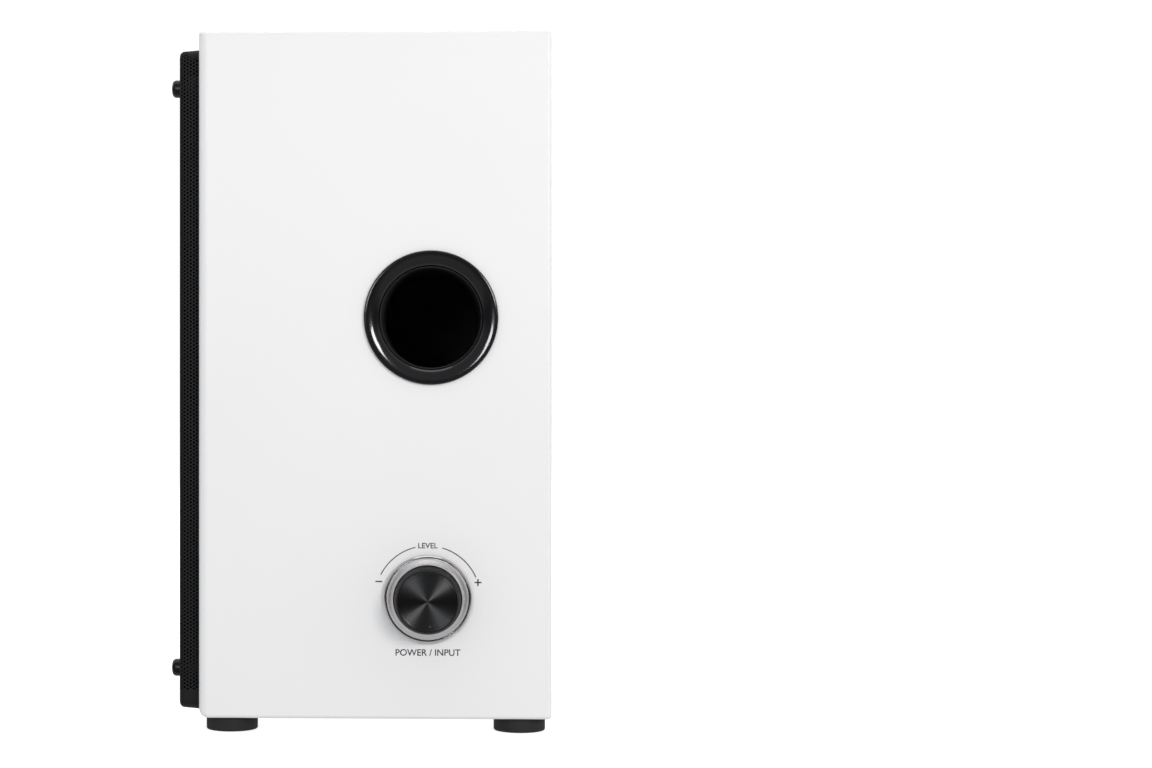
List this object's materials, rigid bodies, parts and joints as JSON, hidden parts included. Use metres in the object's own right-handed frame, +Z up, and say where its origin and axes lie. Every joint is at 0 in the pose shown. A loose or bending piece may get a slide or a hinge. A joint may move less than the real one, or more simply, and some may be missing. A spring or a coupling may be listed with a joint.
{
  "type": "bookshelf speaker",
  "caption": "White box speaker with a black perforated grille, side bass port, push-and-turn side knob, two drivers, rear amplifier plate and rubber feet.",
  "frame": {"origin": "bottom centre of the whole speaker's bounding box, on the surface that its feet stand on", "axes": "+Z up; the grille faces -Y; the side with the bass port and the volume knob faces +X, which is the speaker's own left"},
  "size_m": [0.185, 0.1571, 0.286],
  "materials": {
    "black_board": "matt black painted fibreboard",
    "black_screw": "black oxide",
    "brass": "turned",
    "chrome": "bright dark-tinted chrome, knurled",
    "circuit_board": "green solder mask",
    "copper": "enamelled copper wire",
    "ferrite": "grey ferrite",
    "gloss_black": "polished black moulding",
    "matte_black": "fine-grained black moulding",
    "paper": "black pressed paper pulp",
    "powder_coat": "fine black powder coat on steel",
    "red_plastic": "red moulding",
    "rubber": "matt black rubber",
    "silk": "coated dark silk",
    "spider_cloth": "resin-treated amber cloth",
    "spun_black": "black anodised, spun face",
    "steel": "bright zinc",
    "white_plastic": "white moulding",
    "white_wrap": "satin white vinyl wrap on fibreboard",
    "wire_red": "red insulation"
  },
  "bodies": {
    "cabinet": {"amplifier_board": "circuit_board", "amplifier_plate": "powder_coat", "amplifier_screw_lower_left": "black_screw", "amplifier_screw_lower_right": "black_screw", "amplifier_screw_upper_left": "black_screw", "amplifier_screw_upper_right": "black_screw", "cabinet_bottom_panel": "white_wrap", "cabinet_left_panel": "white_wrap", "cabinet_right_panel": "white_wrap", "cabinet_top_panel": "white_wrap", "control_board": "circuit_board", "encoder_body": "steel", "encoder_nut": "brass", "foot_front_left": "rubber", "foot_front_right": "rubber", "foot_rear_left": "rubber", "foot_rear_right": "rubber", "front_baffle": "black_board", "grille_screw_lower_left": "black_screw", "grille_screw_lower_right": "black_screw", "grille_screw_upper_left": "black_screw", "grille_screw_upper_right": "black_screw", "grille_tray": "powder_coat", "input_jack_red": "red_plastic", "input_jack_white": "white_plastic", "knob_bezel": "matte_black", "mains_inlet": "matte_black", "port_flare": "gloss_black", "port_tube": "matte_black", "power_switch_frame": "matte_black", "rear_panel": "white_wrap", "terminal_block": "matte_black", "transformer": "steel", "tweeter_faceplate": "matte_black", "tweeter_motor": "ferrite", "tweeter_screw_left": "black_screw", "tweeter_screw_right": "black_screw", "tweeter_wires": "wire_red", "woofer_basket": "powder_coat", "woofer_front_plate": "steel", "woofer_magnet": "ferrite", "woofer_pole_piece": "steel", "woofer_screw_lower_left": "black_screw", "woofer_screw_lower_right": "black_screw", "woofer_screw_upper_left": "black_screw", "woofer_screw_upper_right": "black_screw", "woofer_spider": "spider_cloth", "woofer_surround": "rubber", "woofer_wires": "wire_red"},
    "woofer_cone": {"woofer_cone": "paper", "woofer_dust_cap": "paper", "woofer_voice_coil": "copper"},
    "tweeter_dome": {"tweeter_dome": "silk"},
    "knob_plunger": {"encoder_plunger": "white_plastic"},
    "volume_knob": {"encoder_shaft": "steel", "knob_cap": "spun_black", "knob_skirt": "chrome"},
    "power_rocker": {"power_switch_rocker": "matte_black"},
    "red_lever": {"terminal_lever_red": "red_plastic"},
    "black_lever": {"terminal_lever_black": "matte_black"}
  },
  "joints": [
    {"name": "woofer_travel", "type": "slide", "parent": "cabinet", "child": "woofer_cone", "axis": [0, -1, 0], "range_m": [-0.003, 0.003], "stiffness_N_per_m": 1200, "deforming": ["woofer_surround", "woofer_spider"]},
    {"name": "tweeter_travel", "type": "slide", "parent": "cabinet", "child": "tweeter_dome", "axis": [0, -1, 0], "range_m": [-0.0003, 0.0003], "stiffness_N_per_m": 1000},
    {"name": "knob_push", "type": "slide", "parent": "cabinet", "child": "knob_plunger", "axis": [-1, 0, 0], "range_m": [0, 0.0005], "stiffness_N_per_m": 4000},
    {"name": "volume_turn", "type": "hinge", "parent": "knob_plunger", "child": "volume_knob", "pos_m": [0.0775, 0.02825, 0.0551], "axis": [1, 0, 0], "continuous": true},
    {"name": "power_switch", "type": "hinge", "parent": "cabinet", "child": "power_rocker", "pos_m": [0.0225, 0.06755, 0.044], "axis": [1, 0, 0], "range_deg": [0, 18]},
    {"name": "terminal_lever_red", "type": "hinge", "parent": "cabinet", "child": "red_lever", "pos_m": [0.0255, 0.07055, 0.106], "axis": [-1, 0, 0], "range_deg": [0, 20], "stiffness_Nm_per_rad": 0.5},
    {"name": "terminal_lever_black", "type": "hinge", "parent": "cabinet", "child": "black_lever", "pos_m": [0.0115, 0.07055, 0.106], "axis": [-1, 0, 0], "range_deg": [0, 20], "stiffness_Nm_per_rad": 0.5}
  ]
}
